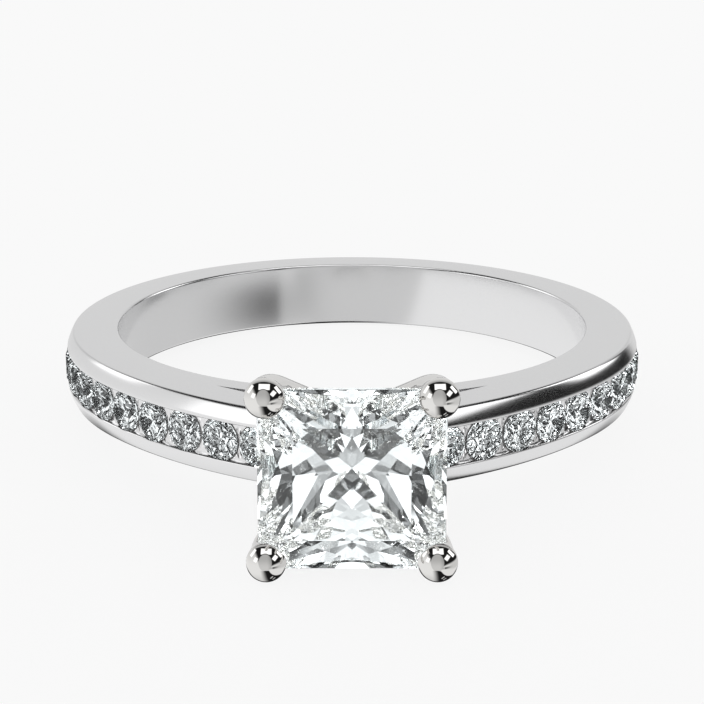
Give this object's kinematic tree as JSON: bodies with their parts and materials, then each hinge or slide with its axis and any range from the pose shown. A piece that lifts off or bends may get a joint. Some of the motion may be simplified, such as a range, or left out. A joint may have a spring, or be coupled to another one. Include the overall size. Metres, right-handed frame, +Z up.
{
  "type": "channel set engagement ring with a claw set square stone",
  "caption": "Polished white metal ring with round stones channel set in both shoulders and a square stone in a four claw head.",
  "frame": {"origin": "middle of the ring's box in plan, on the surface that the ring lies on", "axes": "+Z up; the head with the main stone points to -Y; +X is to the right as seen from the head's side; the finger hole's axis leans 4.8 degrees from +Z towards +Y, as the ring rests on two claw tips and its back rim"},
  "size_m": [0.0202, 0.0242, 0.0063],
  "materials": {
    "white_gold": "mirror polished",
    "diamond": "square brilliant cut, clear",
    "channel_diamond": "round brilliant cut, clear"
  },
  "bodies": {
    "root": {"band_with_claws": "white_gold", "main_stone": "diamond", "channel_stone_left_1": "channel_diamond", "channel_stone_left_2": "channel_diamond", "channel_stone_left_3": "channel_diamond", "channel_stone_left_4": "channel_diamond", "channel_stone_left_5": "channel_diamond", "channel_stone_left_6": "channel_diamond", "channel_stone_left_7": "channel_diamond", "channel_stone_left_8": "channel_diamond", "channel_stone_left_9": "channel_diamond", "channel_stone_left_10": "channel_diamond", "channel_stone_right_1": "channel_diamond", "channel_stone_right_2": "channel_diamond", "channel_stone_right_3": "channel_diamond", "channel_stone_right_4": "channel_diamond", "channel_stone_right_5": "channel_diamond", "channel_stone_right_6": "channel_diamond", "channel_stone_right_7": "channel_diamond", "channel_stone_right_8": "channel_diamond", "channel_stone_right_9": "channel_diamond", "channel_stone_right_10": "channel_diamond"}
  },
  "joints": []
}
